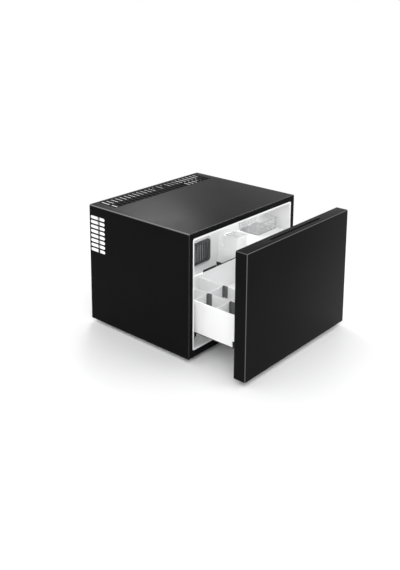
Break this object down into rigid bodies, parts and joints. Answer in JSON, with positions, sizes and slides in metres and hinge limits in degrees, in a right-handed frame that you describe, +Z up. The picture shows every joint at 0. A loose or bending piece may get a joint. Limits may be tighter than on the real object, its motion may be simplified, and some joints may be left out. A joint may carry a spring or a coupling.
{
  "type": "drawer minibar fridge",
  "caption": "Insulated drawer minibar fridge: slotted steel cabinet, slide-out door with a top finger groove, divided white basket, upper trays and a fan-cooled rear unit.",
  "frame": {"origin": "on the floor, under the centre of the whole object's box with the drawer partly out as stored", "axes": "+Z up, -Y towards the door and the way the drawer comes out, +X to the right seen from the front"},
  "size_m": [0.549, 0.653, 0.417],
  "materials": {
    "cabinet_paint": "satin",
    "door_paint": "satin",
    "black_plastic": "matte",
    "louvre_plastic": "matte",
    "white_plastic": "semi-gloss",
    "clear_plastic": "clear",
    "foam": "matte",
    "galvanised_steel": "spangled",
    "black_steel": "satin",
    "aluminium": "satin",
    "module_plate": "matte",
    "foot_rubber": "matte",
    "gasket_vinyl": "matte"
  },
  "bodies": {
    "cabinet": {"outer_wrap": "cabinet_paint", "front_frame": "cabinet_paint", "vent_grille": "black_plastic", "inner_liner": "white_plastic", "insulation": "foam", "rear_bulkhead": "galvanised_steel", "base_plate": "galvanised_steel", "foot_1": "foot_rubber", "foot_2": "foot_rubber", "foot_3": "foot_rubber", "foot_4": "foot_rubber", "rear_post_left": "galvanised_steel", "rear_post_right": "galvanised_steel", "air_shroud": "black_plastic", "fan_guard": "black_steel", "hot_heat_sink": "aluminium", "hot_fan_frame": "black_plastic", "thermoelectric_module": "module_plate", "cold_heat_sink": "aluminium", "cold_fan_frame": "black_plastic", "air_louvre": "louvre_plastic", "louvre_bezel": "white_plastic", "power_supply_box": "galvanised_steel", "mains_inlet": "black_plastic", "light_lens": "clear_plastic", "slide_fixed_left": "black_steel", "slide_fixed_right": "black_steel"},
    "drawer": {"slide_inner_left": "black_steel", "slide_inner_right": "black_steel", "door_skin": "door_paint", "door_foam": "foam", "door_liner": "white_plastic", "door_gasket": "gasket_vinyl", "handle_trough": "black_plastic", "door_bracket_left": "black_steel", "door_bracket_right": "black_steel", "basket": "white_plastic", "divider_long_1": "white_plastic", "divider_long_2": "white_plastic", "divider_cross_1": "white_plastic", "divider_cross_2": "white_plastic", "divider_clip_1": "black_plastic", "divider_clip_2": "black_plastic", "divider_clip_3": "black_plastic", "divider_clip_4": "black_plastic", "tray_bridge": "white_plastic", "snack_tray": "white_plastic", "clear_tray": "clear_plastic"},
    "runners": {"slide_middle_left": "black_steel", "slide_middle_right": "black_steel"},
    "hot_fan": {"hot_fan_rotor": "black_plastic"},
    "cold_fan": {"cold_fan_rotor": "black_plastic"}
  },
  "joints": [
    {"name": "drawer_slide", "type": "slide", "parent": "cabinet", "child": "drawer", "axis": [0, -1, 0], "range_m": [-0.17, 0.12]},
    {"name": "runner_slide", "type": "slide", "parent": "cabinet", "child": "runners", "axis": [0, -1, 0], "range_m": [-0.085, 0.06]},
    {"name": "hot_fan_spin", "type": "hinge", "parent": "cabinet", "child": "hot_fan", "pos_m": [0, 0.2746, 0.164], "axis": [0, 1, 0], "continuous": true},
    {"name": "cold_fan_spin", "type": "hinge", "parent": "cabinet", "child": "cold_fan", "pos_m": [0, 0.1998, 0.164], "axis": [0, 1, 0], "continuous": true}
  ],
  "couplings": [
    {"joint": "runner_slide", "follows": "drawer_slide", "ratio": 0.5}
  ]
}
